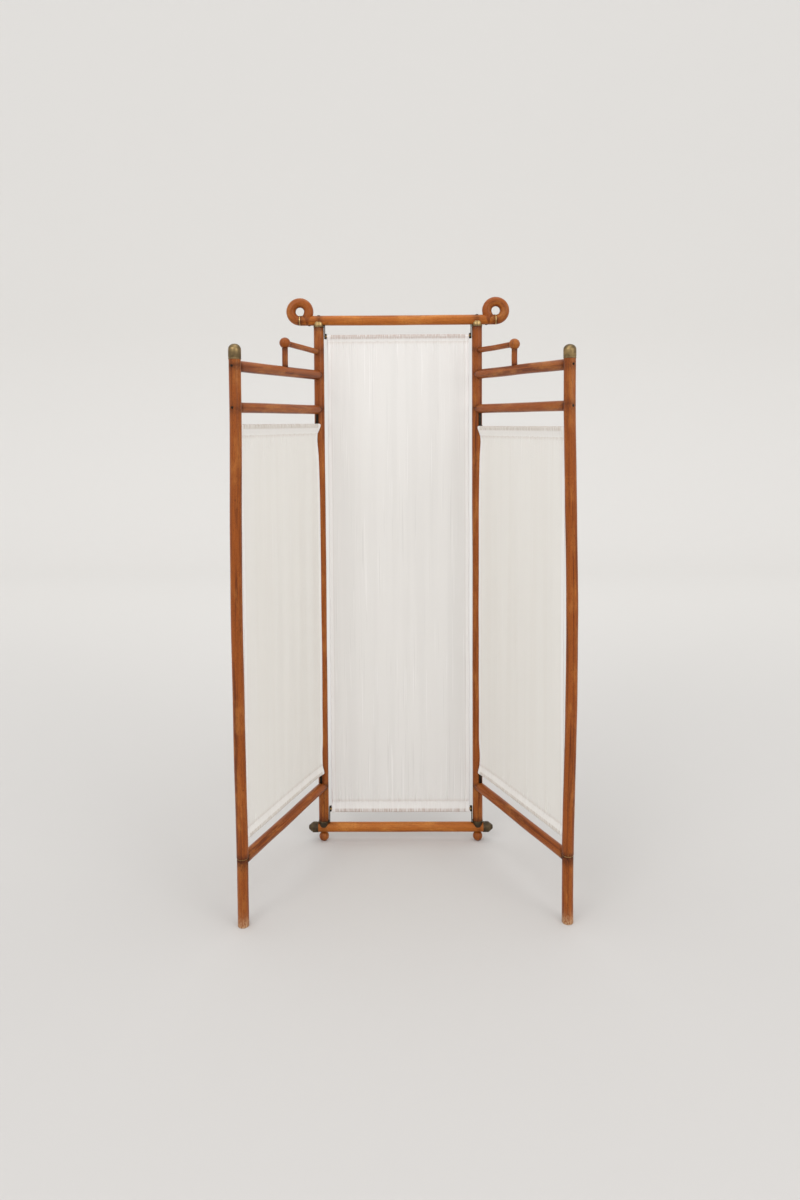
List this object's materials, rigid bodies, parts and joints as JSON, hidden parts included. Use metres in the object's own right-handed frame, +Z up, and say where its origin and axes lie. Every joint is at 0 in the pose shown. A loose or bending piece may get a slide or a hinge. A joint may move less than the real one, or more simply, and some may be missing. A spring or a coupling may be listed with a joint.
{
  "type": "folding screen",
  "caption": "Free-standing folding screen: a bentwood centre panel and two wings on post hinges, each with a cloth panel stretched between rods.",
  "frame": {"origin": "on the floor under the middle of the screen's box as it stands at rest", "axes": "+Z up, the centre panel lies in a plane of constant Y and faces -Y, the wings come forward towards -Y, +X to the viewer's right"},
  "size_m": [0.9269, 0.4828, 1.753],
  "materials": {
    "stained_beech": "satin varnish, reddish brown, worn",
    "golden_beech": "satin varnish, golden brown, worn",
    "aged_brass": "aged, soft sheen",
    "dark_bronze": "dark patina",
    "dark_iron": "blackened",
    "cotton_cloth": "plain weave, off-white, slightly sheer"
  },
  "bodies": {
    "centre_frame": {"ball_foot_left": "stained_beech", "ball_foot_right": "stained_beech", "bottom_pivot_collar_left": "dark_bronze", "bottom_pivot_collar_right": "dark_bronze", "bottom_pivot_pin_left": "dark_iron", "bottom_pivot_pin_right": "dark_iron", "bottom_rail": "golden_beech", "bottom_rod_bracket_left": "dark_iron", "bottom_rod_bracket_right": "dark_iron", "centre_bottom_rod": "aged_brass", "centre_cloth": "cotton_cloth", "centre_top_rod": "aged_brass", "rail_cap_left": "dark_bronze", "rail_cap_right": "dark_bronze", "scroll_band_left": "aged_brass", "scroll_band_right": "aged_brass", "scroll_left": "stained_beech", "scroll_right": "stained_beech", "scroll_screw_left": "dark_iron", "scroll_screw_right": "dark_iron", "top_pivot_saddle_left": "aged_brass", "top_pivot_saddle_right": "aged_brass", "top_pivot_screw_left": "dark_iron", "top_pivot_screw_right": "dark_iron", "top_rail": "golden_beech", "top_rod_bracket_left": "dark_iron", "top_rod_bracket_right": "dark_iron"},
    "left_wing": {"left_bottom_rail": "stained_beech", "left_bottom_rod": "aged_brass", "left_bottom_rod_bracket": "dark_iron", "left_cloth": "cotton_cloth", "left_hinge_post": "stained_beech", "left_leg": "stained_beech", "left_leg_stud": "aged_brass", "left_outer_post": "stained_beech", "left_post_cap": "aged_brass", "left_second_rail": "stained_beech", "left_strut_arm": "stained_beech", "left_strut_ball": "stained_beech", "left_strut_stem": "stained_beech", "left_top_rail": "stained_beech", "left_top_rod": "aged_brass", "left_top_rod_bracket": "dark_iron"},
    "right_wing": {"right_bottom_rail": "stained_beech", "right_bottom_rod": "aged_brass", "right_bottom_rod_bracket": "dark_iron", "right_cloth": "cotton_cloth", "right_hinge_post": "stained_beech", "right_leg": "stained_beech", "right_leg_stud": "aged_brass", "right_outer_post": "stained_beech", "right_post_cap": "aged_brass", "right_second_rail": "stained_beech", "right_strut_arm": "stained_beech", "right_strut_ball": "stained_beech", "right_strut_stem": "stained_beech", "right_top_rail": "stained_beech", "right_top_rod": "aged_brass", "right_top_rod_bracket": "dark_iron"}
  },
  "joints": [
    {"name": "left_wing_hinge", "type": "hinge", "parent": "centre_frame", "child": "left_wing", "pos_m": [-0.26875, 0.22437, 0], "axis": [0, 0, 1], "range_deg": [-138, 101], "deforming": ["centre_cloth"]},
    {"name": "right_wing_hinge", "type": "hinge", "parent": "centre_frame", "child": "right_wing", "pos_m": [0.23125, 0.22437, 0], "axis": [0, 0, 1], "range_deg": [-12, 234.5], "deforming": ["centre_cloth"]}
  ]
}
